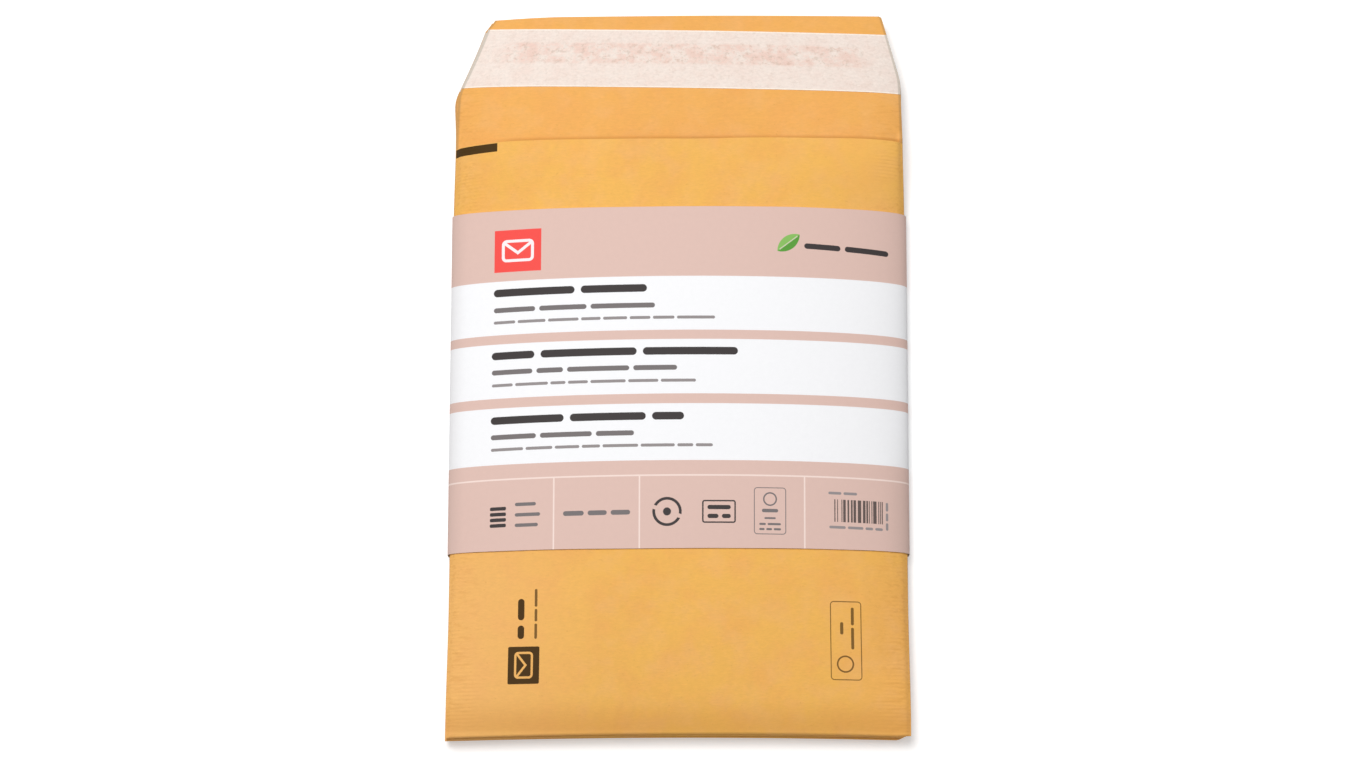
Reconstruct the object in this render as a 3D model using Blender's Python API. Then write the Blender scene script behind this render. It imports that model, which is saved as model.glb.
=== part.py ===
"""A banded pack of four padded kraft mailers, lying front up with their flaps open.

Each mailer is one folded and glued kraft wrap with an open mouth and a long flap, a
pouch of paper padding inside it, and an adhesive strip under a release liner on the
flap. One printed paper band is wound round the middle of the stack and lapped below.

X runs across the pack, Y from the bottom folds to the flaps, Z up. The origin is on
the flat underside of the band, below the middle of the mailers' bodies.
"""

import math

import bmesh
import bpy
from mathutils import Matrix, Vector

MM = 0.001

# The mailer: a body from the bottom fold to the mouth, and the flap beyond it
MAILER_COUNT = 4
MAILER_WIDTH = 171.0 * MM
BODY_LENGTH = 225.0 * MM
FLAP_LENGTH = 50.0 * MM
KRAFT_WALL = 0.2 * MM
FULL_THICKNESS = 4.9 * MM
FOLD_THICKNESS = 2.3 * MM
FOLD_EDGE_THICKNESS = 1.9 * MM
FOLD_ROUNDING = 0.8 * MM
BANDED_EDGE_THICKNESS = 0.6 * MM
MOUTH_EDGE_THICKNESS = 2.2 * MM
DROOPED_EDGE_THICKNESS = 1.2 * MM

# The swell of the padding across and along the pack
CROWN_POWER = 0.46
BANDED_ROUNDNESS = 2.0
OPEN_ROUNDNESS = 3.6
FOLD_REACH = 40.0 * MM
EDGE_LIFT = 0.6 * MM
CROWN_SHIFT = 8.0 * MM
SIDE_PULL = 0.6 * MM
FOLD_PULL = 1.2 * MM
SWELL_REACH = 50.0 * MM
CUT_SKEW = 0.45
CORNER_PULL = 1.8 * MM
CORNER_REACH = 22.0 * MM

# The flap's outline, measured from the mouth
LEFT_CUT_START = 14.0 * MM
LEFT_CUT_DEPTH = 13.5 * MM
RIGHT_CUT_START = 20.0 * MM
RIGHT_CUT_DEPTH = 8.0 * MM
SHOULDER_LENGTH = 6.0 * MM
LEFT_TIP_RADIUS = 3.5 * MM
RIGHT_TIP_RADIUS = 1.0 * MM
TIP_SLANT = 3.0 * MM
TIP_SLANT_REACH = 42.0 * MM
TIP_SLANT_DEPTH = 6.0 * MM
FLAP_TIP_HEIGHT = 1.2 * MM
FLAP_TIP_PITCH = 2.3 * MM
FLAP_TIP_BOW = 2.5 * MM
FLAP_FALL = 1.3

# The padding pouch and the goods pocket inside it
SIDE_SEAM = 12.0 * MM
BOTTOM_SEAM = 7.0 * MM
POCKET_GAP = 0.5 * MM
PADDING_SETBACK = 1.5 * MM
PADDING_EDGE = 1.1 * MM
PADDING_START = 3.0 * MM

# The closure: a line of adhesive below a wider release liner
LINER_WIDTH = 23.7 * MM
LINER_TIP_MARGIN = 6.1 * MM
LINER_WALL = 0.12 * MM
LINER_SET_IN = 0.3 * MM
LINER_SKEW = 0.55
ADHESIVE_WIDTH = 12.0 * MM
ADHESIVE_MARGIN = 3.2 * MM
ADHESIVE_WALL = 0.1 * MM
ADHESIVE_SET_IN = 3.0 * MM

# The paper band round the stack
BAND_LENGTH = 129.5 * MM
BAND_START = 67.5 * MM
BAND_WALL = 0.2 * MM
BAND_SKEW = 0.2
BAND_CORNER = 1.2 * MM
LAP_WIDTH = 14.0 * MM
LAP_PLACE = 42.0 * MM
LAP_RAMP = 6.0 * MM

# Clearance between neighbouring sheets, and how far a mailer may stand out of line
FIT = 0.3 * MM
STACK_GAP = 0.4 * MM
PADDING_FIT = 0.45 * MM
STAGGER_LIMIT = 0.5 * MM

# How each mailer lies in the stack, lowest first: shift across, shift along, turn in degrees
STAGGER = (
    (0.2 * MM, 0.4 * MM, 0.08),
    (-0.2 * MM, -0.6 * MM, -0.10),
    (-0.2 * MM, -0.3 * MM, 0.12),
    (0.0, 0.0, 0.0),
)

# Facets: how many lines cut each sheet, and how far they crowd towards the fold
HALF_COLUMNS = 6
FOLD_ROWS = 4
FOLD_CROWDING = 1.6
GRIP_ROWS = 2
MOUTH_ROWS = 3
BAND_HALF_COLUMNS = 12
BAND_ROWS = 5
SHARP_ANGLE = 40.0
MERGE_DISTANCE = 0.001 * MM

HALF_WIDTH = MAILER_WIDTH / 2.0
BOTTOM_Y = -BODY_LENGTH / 2.0
MOUTH_Y = BODY_LENGTH / 2.0
BAND_LOW_Y = BOTTOM_Y + BAND_START
BAND_HIGH_Y = BAND_LOW_Y + BAND_LENGTH
BAND_HALF = HALF_WIDTH - SIDE_PULL + STAGGER_LIMIT + FIT
STACK_BASE = 2.0 * BAND_WALL + FIT
LINER_START = FLAP_LENGTH - LINER_TIP_MARGIN - LINER_WIDTH
ADHESIVE_START = LINER_START + LINER_WIDTH - ADHESIVE_MARGIN - ADHESIVE_WIDTH

KRAFT_COLOUR = (0.87, 0.47, 0.10, 1.0)
PADDING_COLOUR = (0.46, 0.33, 0.21, 1.0)
ADHESIVE_COLOUR = (0.80, 0.74, 0.58, 1.0)
LINER_COLOUR = (0.90, 0.80, 0.75, 1.0)
BAND_COLOUR = (0.77, 0.54, 0.47, 1.0)


def mix(low, high, share):
    """The value that lies the given share of the way from low to high."""
    return low + (high - low) * share


def ease(share):
    """A smooth step from 0 to 1."""
    share = min(max(share, 0.0), 1.0)
    return share * share * (3.0 - 2.0 * share)


def loosened(y):
    """How free the stack is of the band's grip: 0 under the band, 1 at the mouth."""
    return ease((y - BAND_HIGH_Y) / (MOUTH_Y - BAND_HIGH_Y))


def crown(x, y):
    """The padding's swell across the pack, 1 in the middle and 0 beyond the side edges."""
    roundness = mix(BANDED_ROUNDNESS, OPEN_ROUNDNESS, loosened(y))
    share = min(max(x / BAND_HALF, -1.0), 1.0)
    reach = abs(share - CROWN_SHIFT / BAND_HALF * (1.0 - share ** 2))
    return (1.0 - reach ** roundness) ** CROWN_POWER


def edge_thickness(x, y):
    """A mailer's thickness at its side edges, which the band squeezes and the mouth opens."""
    right_share = (x / HALF_WIDTH + 1.0) / 2.0
    at_mouth = mix(DROOPED_EDGE_THICKNESS, MOUTH_EDGE_THICKNESS, ease(right_share))
    to_fold = ease((BAND_LOW_Y - y) / BAND_START)
    below = mix(BANDED_EDGE_THICKNESS, FOLD_EDGE_THICKNESS, to_fold)
    return mix(below, at_mouth, loosened(y))


def full_thickness(y):
    """A mailer's thickness along its middle, which thins towards the bottom fold."""
    from_fold = max(y - BOTTOM_Y, 0.0)
    return mix(FULL_THICKNESS, FOLD_THICKNESS, math.exp(-from_fold / FOLD_REACH))


def thickness(x, y):
    """One padded mailer's thickness at a point of the pack."""
    y = min(y, MOUTH_Y)
    return mix(edge_thickness(x, y), full_thickness(y), crown(x, y))


def underside(x, y):
    """Height of the lowest mailer's underside, whose edges lift off the floor."""
    return STACK_BASE + EDGE_LIFT * (1.0 - crown(x, min(y, MOUTH_Y))) ** 2


def level(number, x, y):
    """Height of the underside of a mailer, counted from 0. Level 4 is the top of the stack."""
    return underside(x, y) + number * (thickness(x, y) + STACK_GAP)


def flap_height(number, x, y):
    """Height of a flap's underside, which slopes from the mouth down to its tip."""
    share = max((y - MOUTH_Y) / FLAP_LENGTH, 0.0)
    start = level(number, x, MOUTH_Y)
    bow = FLAP_TIP_BOW * (1.0 - (x / HALF_WIDTH) ** 2)
    tip = FLAP_TIP_HEIGHT + number * FLAP_TIP_PITCH + bow
    return mix(start, tip, share ** FLAP_FALL)


def tip_rounding(distance, radius):
    """How far a round corner at the flap's tip draws its side in."""
    over = max(distance - (FLAP_LENGTH - radius), 0.0)
    return radius - math.sqrt(max(radius ** 2 - over ** 2, 0.0))


def tip_slant(x, distance):
    """How far the flap's tip edge falls back towards its left corner."""
    leftward = ease((-x - (HALF_WIDTH - TIP_SLANT_REACH)) / TIP_SLANT_REACH)
    return TIP_SLANT * leftward * ease((distance - (FLAP_LENGTH - TIP_SLANT_DEPTH)) / TIP_SLANT_DEPTH)


def side_cut(distance, start, depth):
    """How far a flap's slanted side cut has run in, with a round shoulder at its start."""
    slope = depth / (FLAP_LENGTH - start)
    past = distance - start
    if past <= -SHOULDER_LENGTH:
        return 0.0
    if past < SHOULDER_LENGTH:
        return slope * (past + SHOULDER_LENGTH) ** 2 / (4.0 * SHOULDER_LENGTH)
    return slope * past


def flap_side(distance, side):
    """X of the flap's side at a distance from the mouth; side is -1 on the left, 1 on the right."""
    start = LEFT_CUT_START if side < 0 else RIGHT_CUT_START
    depth = LEFT_CUT_DEPTH if side < 0 else RIGHT_CUT_DEPTH
    radius = LEFT_TIP_RADIUS if side < 0 else RIGHT_TIP_RADIUS
    return side * (HALF_WIDTH - side_cut(distance, start, depth) - tip_rounding(distance, radius))


def in_flap_outline(x, y, set_in=0.0):
    """Draws a point of the full-width sheet in, to the flap's outline less a margin."""
    side = -1 if x < 0 else 1
    distance = max(y - MOUTH_Y, 0.0)
    limit = abs(flap_side(distance, side)) - SIDE_PULL - set_in
    skew = math.tan(math.radians(CUT_SKEW)) * min(distance / FLAP_LENGTH, 1.0)
    x *= limit / HALF_WIDTH
    return x, y + x * skew - tip_slant(x, distance)


def staggered(number, x, y):
    """Moves a mailer's own point to where that mailer lies in the stack."""
    across, along, degrees = STAGGER[number]
    turn = Matrix.Rotation(math.radians(degrees), 2)
    place = turn @ Vector((x, y))
    return place.x + across, place.y + along


def columns(half_width, half_count):
    """Column lines across a sheet, closer together towards its side edges."""
    steps = range(-half_count, half_count + 1)
    return [half_width * math.sin(math.pi / 2.0 * step / half_count) for step in steps]


def body_rows(start, end):
    """Row lines along a body, with a line at each edge of the band and more towards the fold."""
    fold = [mix(start, BAND_LOW_Y, (step / FOLD_ROWS) ** FOLD_CROWDING) for step in range(FOLD_ROWS)]
    grip = even_rows(BAND_LOW_Y, BAND_HIGH_Y, GRIP_ROWS)
    mouth = even_rows(BAND_HIGH_Y, end, MOUTH_ROWS)
    return fold + grip[:-1] + mouth


def even_rows(start, end, count):
    """Evenly spaced row lines."""
    return [mix(start, end, step / count) for step in range(count + 1)]


def cut_block(column_lines, row_lines, depth, layers=1):
    """A flat block standing on height 0, cut along its column, row and layer lines."""
    mesh = bmesh.new()
    bmesh.ops.create_cube(mesh, size=1.0)
    low = Vector((column_lines[0], row_lines[0], 0.0))
    high = Vector((column_lines[-1], row_lines[-1], depth))
    bmesh.ops.scale(mesh, vec=high - low, verts=mesh.verts)
    bmesh.ops.translate(mesh, vec=(low + high) / 2.0, verts=mesh.verts)
    cuts = [((x, 0.0, 0.0), (1.0, 0.0, 0.0)) for x in column_lines[1:-1]]
    cuts += [((0.0, y, 0.0), (0.0, 1.0, 0.0)) for y in row_lines[1:-1]]
    cuts += [((0.0, 0.0, depth * layer / layers), (0.0, 0.0, 1.0)) for layer in range(1, layers)]
    for place, normal in cuts:
        every = mesh.verts[:] + mesh.edges[:] + mesh.faces[:]
        bmesh.ops.bisect_plane(mesh, geom=every, dist=MERGE_DISTANCE, plane_co=place, plane_no=normal)
    return mesh


def push(mesh, faces, distance):
    """Extrudes faces along Y by a distance and returns the moved faces."""
    made = bmesh.ops.extrude_face_region(mesh, geom=faces)["geom"]
    bmesh.ops.delete(mesh, geom=faces, context="FACES")
    moved = [item for item in made if isinstance(item, bmesh.types.BMVert)]
    bmesh.ops.translate(mesh, vec=(0.0, distance, 0.0), verts=moved)
    return [item for item in made if isinstance(item, bmesh.types.BMFace)]


def open_pouch(mesh, row_lines, wall, bottom):
    """Sinks a pocket from the mouth end of a block down to its bottom, one row at a time."""
    pocket = [face for face in mesh.faces if face.normal.y > 0.9]
    bmesh.ops.inset_region(mesh, faces=pocket, thickness=wall, use_even_offset=True)
    stops = [row for row in row_lines[:-1] if row > bottom]
    at = row_lines[-1]
    for stop in [*reversed(stops), bottom]:
        pocket = push(mesh, pocket, stop - at)
        at = stop


def extend_flap(mesh, row_lines, wall):
    """Draws the lower lip of a pouch's mouth out into a flap, one row at a time."""
    mouth = row_lines[0]
    lip = [
        face
        for face in mesh.faces
        if face.normal.y > 0.9 and face.calc_center_median().z < wall
        and abs(face.calc_center_median().y - mouth) < FIT
    ]
    for start, end in zip(row_lines, row_lines[1:]):
        lip = push(mesh, lip, end - start)


def finish(mesh, name, material, collection):
    """Makes a named object of a finished mesh, both skins of each sheet split on like diagonals."""
    bmesh.ops.recalc_face_normals(mesh, faces=mesh.faces)
    bmesh.ops.triangulate(mesh, faces=mesh.faces, quad_method="SHORT_EDGE", ngon_method="BEAUTY")
    data = bpy.data.meshes.new(name)
    mesh.to_mesh(data)
    mesh.free()
    data.materials.append(material)
    data.shade_smooth()
    data.set_sharp_from_angle(angle=math.radians(SHARP_ANGLE))
    item = bpy.data.objects.new(name, data)
    collection.objects.link(item)
    return item


def kraft_wrap(number, material, collection):
    """The folded and glued kraft sheet of one mailer: two plies, an open mouth and the flap."""
    body = body_rows(BOTTOM_Y, MOUTH_Y)
    mesh = cut_block(columns(HALF_WIDTH, HALF_COLUMNS), body, 3.0 * KRAFT_WALL, layers=2)
    open_pouch(mesh, body, KRAFT_WALL, BOTTOM_Y + FOLD_ROUNDING)
    extend_flap(mesh, flap_rows(), KRAFT_WALL)
    for vert in mesh.verts:
        x, y, z = vert.co
        skin = round(2.0 * z / KRAFT_WALL) / 2.0
        if y > MOUTH_Y + FIT:
            x, y = staggered(number, *in_flap_outline(x, y))
            vert.co = (x, y, flap_height(number, x, y) + skin * KRAFT_WALL)
            continue
        if y < BOTTOM_Y + FIT and skin == 1.5:
            y -= FOLD_ROUNDING
        x, y = staggered(number, *drawn_in(x, y, skin > 1.5))
        low = level(number, x, y)
        vert.co = (x, y, low + ply_height(skin, thickness(x, y), KRAFT_WALL))
    return finish(mesh, f"kraft_wrap_{number + 1}", material, collection)


def ply_height(skin, full, wall):
    """Height in a pouch of a flat block's line: two plies with their skins at 0, 1, 2 and 3."""
    if skin <= 1.0:
        return skin * wall
    if skin >= 2.0:
        return full - (3.0 - skin) * wall
    return full / 2.0


def flap_rows():
    """Row lines along a flap, closer together round its shoulders and its tip."""
    left = [LEFT_CUT_START - SHOULDER_LENGTH, LEFT_CUT_START]
    right = [RIGHT_CUT_START, RIGHT_CUT_START + SHOULDER_LENGTH]
    tip = [FLAP_LENGTH - LEFT_TIP_RADIUS, FLAP_LENGTH - RIGHT_TIP_RADIUS]
    return [MOUTH_Y + stop for stop in (0.0, *left, *right, *tip, FLAP_LENGTH)]


def drawn_in(x, y, front):
    """A point of the flat body once the swell has drawn its edges in and the cut is askew."""
    swell = ease((y - BOTTOM_Y) / SWELL_REACH)
    y += FOLD_PULL * (1.0 - (x / HALF_WIDTH) ** 2) * (1.0 - swell)
    if front:
        corner = CORNER_PULL * ease((-x - (HALF_WIDTH - CORNER_REACH)) / CORNER_REACH)
        skew = (HALF_WIDTH - x) * math.tan(math.radians(CUT_SKEW))
        y -= (corner + skew) * ease((y - (MOUTH_Y - CORNER_REACH)) / CORNER_REACH)
    return x * (1.0 - SIDE_PULL / HALF_WIDTH * swell), y


def padding_pouch(number, material, collection):
    """The paper padding of one mailer: two layers joined round three sides, a pocket between."""
    margin = KRAFT_WALL + PADDING_FIT
    half = HALF_WIDTH - PADDING_EDGE
    pocket_share = (HALF_WIDTH - SIDE_SEAM) / (half - POCKET_GAP)
    rows = body_rows(BOTTOM_Y + PADDING_START, MOUTH_Y - PADDING_SETBACK)
    mesh = cut_block(columns(half, HALF_COLUMNS), rows, 3.0 * POCKET_GAP)
    open_pouch(mesh, rows, POCKET_GAP, BOTTOM_Y + BOTTOM_SEAM)
    for vert in mesh.verts:
        x, y, z = vert.co
        skin = round(z / POCKET_GAP)
        if skin in (1, 2):
            x *= pocket_share
        x, y = staggered(number, *drawn_in(x, y, skin >= 2))
        low = level(number, x, y) + margin
        full = thickness(x, y) - 2.0 * margin
        vert.co = (x, y, low + ply_height(skin, full, (full - POCKET_GAP) / 2.0))
    return finish(mesh, f"padding_pouch_{number + 1}", material, collection)


def flap_strip(name, number, lift, wall, start, width, set_in, material, collection):
    """A thin strip that lies along a flap, cut off at the flap's slanted sides."""
    rows = even_rows(MOUTH_Y + start, MOUTH_Y + start + width, 2)
    mesh = cut_block(columns(HALF_WIDTH, HALF_COLUMNS), rows, wall)
    for vert in mesh.verts:
        x, y, z = vert.co
        y -= x * math.tan(math.radians(LINER_SKEW + CUT_SKEW))
        x, y = staggered(number, *in_flap_outline(x, y, set_in))
        vert.co = (x, y, flap_height(number, x, y) + KRAFT_WALL + lift + z)
    return finish(mesh, name, material, collection)


def adhesive_strip(number, material, collection):
    """The line of adhesive on the inner face of a flap."""
    return flap_strip(
        f"adhesive_strip_{number + 1}", number, FIT, ADHESIVE_WALL,
        ADHESIVE_START, ADHESIVE_WIDTH, ADHESIVE_SET_IN, material, collection,
    )


def release_liner(number, material, collection):
    """The peel-off liner over a flap's adhesive."""
    lift = FIT + ADHESIVE_WALL + FIT
    return flap_strip(
        f"release_liner_{number + 1}", number, lift, LINER_WALL,
        LINER_START, LINER_WIDTH, LINER_SET_IN, material, collection,
    )


def band_section(y):
    """The band's outline at a place along the pack, as pairs of an inner and an outer point."""
    lines = columns(BAND_HALF, BAND_HALF_COLUMNS)
    top = [(x, level(MAILER_COUNT, x, askew(x, y))) for x in reversed(lines)]
    corner = []
    for angle in (0.0, math.pi / 4.0, math.pi / 2.0):
        x = BAND_HALF - BAND_CORNER * (1.0 - math.cos(angle))
        corner.append((x, BAND_WALL + BAND_CORNER * (1.0 - math.sin(angle))))
    right = list(reversed(corner))
    left = [(-x, z) for x, z in corner]
    ring = right + top + left
    return list(zip(ring, offset_outline(ring, BAND_WALL))) + lap_points()


def askew(x, y):
    """Y of a point on the band, which sits a little askew."""
    return y + x * math.tan(math.radians(BAND_SKEW))


def lap_points():
    """The underside's points, left to right: the start of the strip climbs onto its own end."""
    start = LAP_PLACE - LAP_WIDTH / 2.0
    end = LAP_PLACE + LAP_WIDTH / 2.0
    single = BAND_WALL
    double = 2.0 * BAND_WALL
    return [
        ((start - LAP_RAMP, single), (start - LAP_RAMP, 0.0)),
        ((start, double), (start, single)),
        ((start + BAND_WALL, double), (start, 0.0)),
        ((end, double), (end - BAND_WALL, 0.0)),
        ((end, single), (end, 0.0)),
    ]


def offset_outline(points, distance):
    """A closed outline moved to its right-hand side, which is outwards as it runs."""
    moved = []
    for index, point in enumerate(points):
        here = Vector(point)
        before = here - Vector(points[index - 1])
        after = Vector(points[(index + 1) % len(points)]) - here
        sides = [Vector((step.y, -step.x)).normalized() for step in (before, after)]
        normal = (sides[0] + sides[1]).normalized()
        place = here + normal * (distance / normal.dot(sides[0]))
        moved.append((place.x, place.y))
    return moved


def paper_band(material, collection):
    """The printed band: a flat strip wound round the stack, its ends lapped below."""
    rows = even_rows(BAND_LOW_Y, BAND_HIGH_Y, BAND_ROWS)
    sections = [band_section(row) for row in rows]
    count = len(sections[0])
    mesh = cut_block(list(range(count + 1)), rows, 1.0)
    ends = [face for face in mesh.faces if abs(face.normal.x) > 0.9]
    bmesh.ops.delete(mesh, geom=ends, context="FACES_ONLY")
    for vert in mesh.verts:
        row = round((vert.co.y - BAND_LOW_Y) / BAND_LENGTH * BAND_ROWS)
        x, z = sections[row][round(vert.co.x) % count][round(vert.co.z)]
        vert.co = (x, askew(x, rows[row]), z)
    bmesh.ops.remove_doubles(mesh, verts=mesh.verts, dist=MERGE_DISTANCE)
    return finish(mesh, "paper_band", material, collection)


def make_material(name, colour, roughness):
    """A plain paper finish."""
    material = bpy.data.materials.new(name)
    material.use_nodes = True
    shader = material.node_tree.nodes["Principled BSDF"]
    shader.inputs["Base Color"].default_value = colour
    shader.inputs["Roughness"].default_value = roughness
    shader.inputs["Metallic"].default_value = 0.0
    material.diffuse_color = colour
    return material


def main():
    """Builds the whole pack."""
    for item in list(bpy.data.objects):
        bpy.data.objects.remove(item, do_unlink=True)
    pack = bpy.data.collections.new("padded_mailer_pack")
    bpy.context.scene.collection.children.link(pack)
    kraft = make_material("kraft_paper", KRAFT_COLOUR, 0.62)
    padding = make_material("paper_padding", PADDING_COLOUR, 0.9)
    adhesive = make_material("adhesive", ADHESIVE_COLOUR, 0.35)
    liner = make_material("liner_paper", LINER_COLOUR, 0.4)
    printed = make_material("band_paper", BAND_COLOUR, 0.5)
    for number in range(MAILER_COUNT):
        kraft_wrap(number, kraft, pack)
        padding_pouch(number, padding, pack)
        adhesive_strip(number, adhesive, pack)
        release_liner(number, liner, pack)
    paper_band(printed, pack)


main()
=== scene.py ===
"""Dresses the banded pack of four padded kraft mailers: paper sheets, print, floor, light and camera.

Shapes are in metres. Print and paper patterns are in millimetres.
"""

import math
import random

import bmesh
import bpy
import numpy as np
from mathutils import Matrix, Vector, noise


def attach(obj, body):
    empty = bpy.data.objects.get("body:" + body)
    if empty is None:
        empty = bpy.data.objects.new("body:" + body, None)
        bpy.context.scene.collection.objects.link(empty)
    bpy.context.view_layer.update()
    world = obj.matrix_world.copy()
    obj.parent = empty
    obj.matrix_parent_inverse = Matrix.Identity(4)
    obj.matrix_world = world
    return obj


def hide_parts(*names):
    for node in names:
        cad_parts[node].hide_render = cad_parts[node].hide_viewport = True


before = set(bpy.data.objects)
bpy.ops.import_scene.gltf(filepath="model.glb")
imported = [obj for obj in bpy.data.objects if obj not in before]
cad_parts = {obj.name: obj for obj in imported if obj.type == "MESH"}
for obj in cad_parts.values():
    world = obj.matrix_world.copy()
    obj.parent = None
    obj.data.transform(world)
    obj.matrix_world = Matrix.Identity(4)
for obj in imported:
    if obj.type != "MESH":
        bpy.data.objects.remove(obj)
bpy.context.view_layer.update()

MM = 0.001

# The mailer: a body from the bottom fold to the mouth, and the flap beyond it
MAILER_COUNT = 4
HALF_WIDTH = 85.5 * MM
BOTTOM_Y = -112.5 * MM
MOUTH_Y = 112.5 * MM
FLAP_LENGTH = 50.0 * MM
KRAFT_WALL = 0.2 * MM
FULL_THICKNESS = 4.9 * MM
FOLD_THICKNESS = 2.3 * MM
FOLD_EDGE_THICKNESS = 1.9 * MM
FOLD_ROUNDING = 0.8 * MM
BANDED_EDGE_THICKNESS = 0.6 * MM
MOUTH_EDGE_THICKNESS = 2.2 * MM
DROOPED_EDGE_THICKNESS = 1.2 * MM

# The swell of the padding across and along the pack
CROWN_POWER = 0.46
BANDED_ROUNDNESS = 2.0
OPEN_ROUNDNESS = 3.6
FOLD_REACH = 40.0 * MM
EDGE_LIFT = 0.6 * MM
CROWN_SHIFT = 8.0 * MM
SIDE_PULL = 0.6 * MM
MOUTH_PULL = 0.55 * MM
TOP_LEFT_PULL = 0.35 * MM
TOP_RIGHT_PULL = 0.6 * MM
PULL_RUNOUT = 20.0 * MM
FOLD_PULL = 1.2 * MM
FOLD_SKEW = math.tan(math.radians(0.3))
SWELL_REACH = 50.0 * MM
CUT_SKEW = math.tan(math.radians(0.45))
LEFT_CORNER_PULL = 0.75 * MM
RIGHT_CORNER_PULL = 0.35 * MM
CORNER_REACH = 22.0 * MM
LIP_SET_BACK = 0.65 * MM

# The flap's outline, measured from the mouth
LEFT_CUT_START = 17.5 * MM
LEFT_CUT_DEPTH = 13.5 * MM
LEFT_CUT_BOW = 0.8 * MM
RIGHT_CUT_START = 20.0 * MM
RIGHT_CUT_DEPTH = 8.0 * MM
SHOULDER_LENGTH = 3.5 * MM
LEFT_CLIP_DEPTH = 4.0 * MM
LEFT_CLIP_SLOPE = 0.25
RIGHT_TIP_RADIUS = 1.0 * MM
TIP_SLANT = 1.4 * MM
TIP_SLANT_REACH = 42.0 * MM
TIP_SLANT_DEPTH = 6.0 * MM
FLAP_TIP_HEIGHT = 1.2 * MM
FLAP_TIP_PITCH = 2.3 * MM
FLAP_TIP_BOW = 2.5 * MM
FLAP_FALL = 1.3

# The closure on the flap
LINER_START = 20.2 * MM
LINER_WIDTH = 23.7 * MM
LINER_WALL = 0.12 * MM
LINER_SET_IN = 0.0
LINER_SKEW = math.tan(math.radians(1.0))
LINER_EDGE_LIFT = 0.2 * MM
LINER_SWELL = 0.16 * MM
LINER_STEP = 1.2 * MM
COCKLE_HEIGHT = 0.05 * MM
COCKLE_SIZE = 7.0 * MM
ADHESIVE_START = 28.7 * MM
ADHESIVE_WIDTH = 12.0 * MM
ADHESIVE_WALL = 0.1 * MM
ADHESIVE_SET_IN = 3.0 * MM
ADHESIVE_LIFT = 0.14 * MM

# The paper band round the stack
BAND_LOW_Y = -45.0 * MM
BAND_HIGH_Y = 84.5 * MM
BAND_HALF = 85.7 * MM
BAND_WALL = 0.2 * MM
BAND_SKEW = math.tan(math.radians(0.2))
BAND_CORNER = 1.2 * MM
LAP_START = 35.0 * MM
LAP_END = 49.0 * MM
LAP_RAMP = 6.0 * MM
LAP_GLUE = 0.03 * MM
FRILL_HEIGHT = 0.12 * MM
FRILL_SIZE = 23.0 * MM
FRILL_REACH = 12.0 * MM
SLACK_HEIGHT = 0.05 * MM
SLACK_SIZE = 36.0 * MM

# The stack: its height over the floor, and how far each mailer is moved and turned
STACK_BASE = 0.7 * MM
STACK_GAP = 0.4 * MM
STAGGER = (
    (0.2 * MM, 0.4 * MM, math.radians(0.08)),
    (-0.2 * MM, -0.6 * MM, math.radians(-0.10)),
    (-0.2 * MM, -0.3 * MM, math.radians(0.12)),
    (0.0, 0.0, 0.0),
)

# How far each mailer's bottom right corner is crushed in
CRUSH = (1.8 * MM, 1.8 * MM, 1.2 * MM, 0.3 * MM)
CRUSH_WIDTH = 5.0 * MM
CRUSH_LENGTH = 10.0 * MM

# How far each flap has sprung aside, and how far its base is drawn in at both sides
FLAP_LEAN = (-0.4 * MM, 0.7 * MM, -0.8 * MM, 0.0)
LEAN_REACH = 34.0 * MM
FLAP_PULL = (0.4 * MM, 0.9 * MM, 0.3 * MM, 0.95 * MM)

# Seams, ripples and dents of the kraft sheet
SEAM_HALF = 0.25 * MM
SEAM_WIDTH = 1.9 * MM
SEAM_RUNOUT = 6.0 * MM
PINCH_WIDTH = 0.9 * SEAM_WIDTH
CRIMP_WIDTH = 15.0 * MM
CRIMP_FADE = 8.0 * MM
CRIMP_PITCH = 1.4 * MM
CRIMP_HEIGHT = 0.08 * MM
CRIMP_PATCH = 9.0 * MM
CRIMP_WANDER = 1.6
CRIMP_WANDER_SIZE = 24.0 * MM
CRIMP_RUNOUT = 8.0 * MM
DENT_SIZE = 32.0 * MM
DENT_HEIGHT = 0.15 * MM
PUCKER_SIZE = 11.0 * MM
PUCKER_HEIGHT = 0.05 * MM
HIDDEN_SHARE = 0.2
LIP_WAVE = 0.3 * MM
LIP_WAVE_SIZE = 26.0 * MM
LIP_WAVE_REACH = 6.0 * MM
SCORE_DEPTH = 0.3 * MM
SCORE_WIDTH = 1.2 * MM
SCORE_PLACE = 0.3 * MM
SCORE_START = -73.0 * MM
SCORE_RUNOUT = 14.0 * MM
CREASE_START = (67.0 * MM, -50.3 * MM)
CREASE_END = (77.0 * MM, -98.0 * MM)
CREASE_HEIGHT = 0.45 * MM
CREASE_WIDTH = 2.0 * MM
FLAP_WAVE = 0.3 * MM
FLAP_WAVE_SIZE = 38.0 * MM

# Lines that cut the sheets
EDGE_ZONE = 12.0 * MM
EDGE_COLUMNS = 13
MIDDLE_COLUMNS = 46
FOLD_STEPS = 12
TIP_STEPS = 8
FINE_PITCH = 0.35 * MM
HIDDEN_PITCH = 3.0 * MM
FLAP_PITCH = 1.0 * MM
HIDDEN_FLAP_PITCH = 2.0 * MM
FLAP_BASE = 18.0 * MM
UNDER_BAND = 3.0 * MM
STRIP_EDGE_COLUMNS = 8
STRIP_MIDDLE_COLUMNS = 60
LINER_ROWS = 44
ADHESIVE_ROWS = 6
BAND_COLUMNS = 44
BAND_TOP_ROWS = 121
BAND_CORNER_ROWS = 8
BAND_RAMP_STEPS = 6
BAND_LEFT_PITCH = 6.0 * MM
BAND_RIGHT_PITCH = 5.0 * MM

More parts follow.
